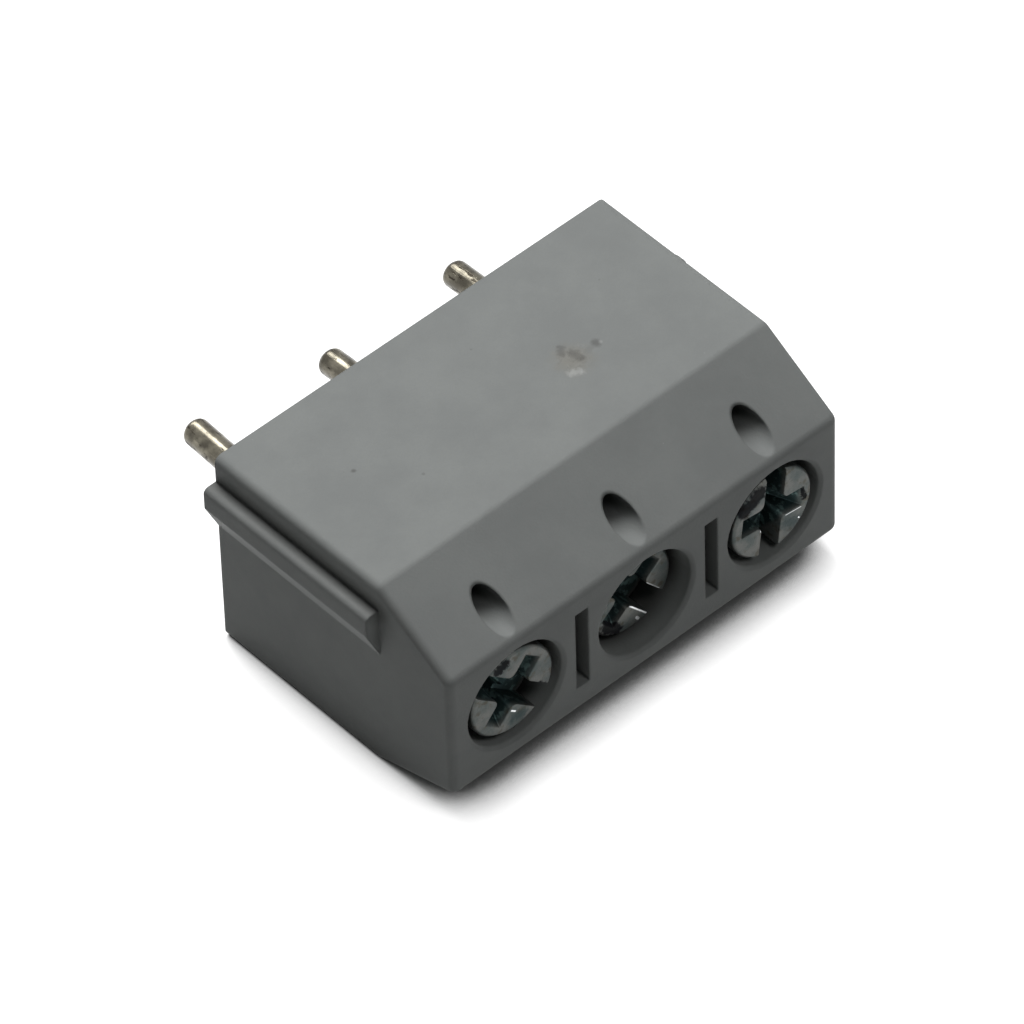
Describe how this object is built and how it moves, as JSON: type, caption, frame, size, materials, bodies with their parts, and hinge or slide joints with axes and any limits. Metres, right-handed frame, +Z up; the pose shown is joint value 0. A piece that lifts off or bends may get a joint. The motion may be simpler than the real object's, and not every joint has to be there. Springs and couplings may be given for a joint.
{
  "type": "pcb screw terminal",
  "caption": "Grey moulded board terminal with bevelled housing, slot-and-cross clamp screws, probe holes, wire funnels, round solder pins and an end rib for joining blocks.",
  "frame": {"origin": "on the axis of the middle solder pin, at the board plane under the housing", "axes": "+X along the poles, away from the end rib; wires enter along +Y; +Z up from the board to the screw heads"},
  "size_m": [0.0157, 0.0076, 0.014],
  "materials": {
    "housing_plastic": "fine matte moulded grey",
    "plated_brass": "dull nickel plating",
    "tinned_pin": "bright tin with drawing scratches",
    "guard_steel": "rolled spring strip",
    "zinc_steel": "clear zinc plating with a cold tint"
  },
  "bodies": {
    "block": {"housing": "housing_plastic", "clamp_body_1": "plated_brass", "clamp_body_2": "plated_brass", "clamp_body_3": "plated_brass", "solder_pin_1": "tinned_pin", "solder_pin_2": "tinned_pin", "solder_pin_3": "tinned_pin"},
    "guard_1": {"wire_guard_1": "guard_steel"},
    "screw_1": {"clamp_screw_1": "zinc_steel"},
    "guard_2": {"wire_guard_2": "guard_steel"},
    "screw_2": {"clamp_screw_2": "zinc_steel"},
    "guard_3": {"wire_guard_3": "guard_steel"},
    "screw_3": {"clamp_screw_3": "zinc_steel"}
  },
  "joints": [
    {"name": "guard_1_travel", "type": "slide", "parent": "block", "child": "guard_1", "axis": [0, 0, 1], "range_m": [-0.0018, 0.00017]},
    {"name": "screw_1_turn", "type": "hinge", "parent": "guard_1", "child": "screw_1", "pos_m": [-0.00508, 0, 0.0095], "axis": [0, 0, 1], "range_deg": [-1440, 136]},
    {"name": "guard_2_travel", "type": "slide", "parent": "block", "child": "guard_2", "axis": [0, 0, 1], "range_m": [-0.00128, 0.00069]},
    {"name": "screw_2_turn", "type": "hinge", "parent": "guard_2", "child": "screw_2", "pos_m": [0, 0, 0.0095], "axis": [0, 0, 1], "range_deg": [-1024, 552]},
    {"name": "guard_3_travel", "type": "slide", "parent": "block", "child": "guard_3", "axis": [0, 0, 1], "range_m": [-0.00187, 0.0001]},
    {"name": "screw_3_turn", "type": "hinge", "parent": "guard_3", "child": "screw_3", "pos_m": [0.00508, 0, 0.0095], "axis": [0, 0, 1], "range_deg": [-1496, 80]}
  ],
  "couplings": [
    {"joint": "screw_1_turn", "follows": "guard_1_travel", "rad_per_m": 13963},
    {"joint": "screw_2_turn", "follows": "guard_2_travel", "rad_per_m": 13963},
    {"joint": "screw_3_turn", "follows": "guard_3_travel", "rad_per_m": 13963}
  ]
}
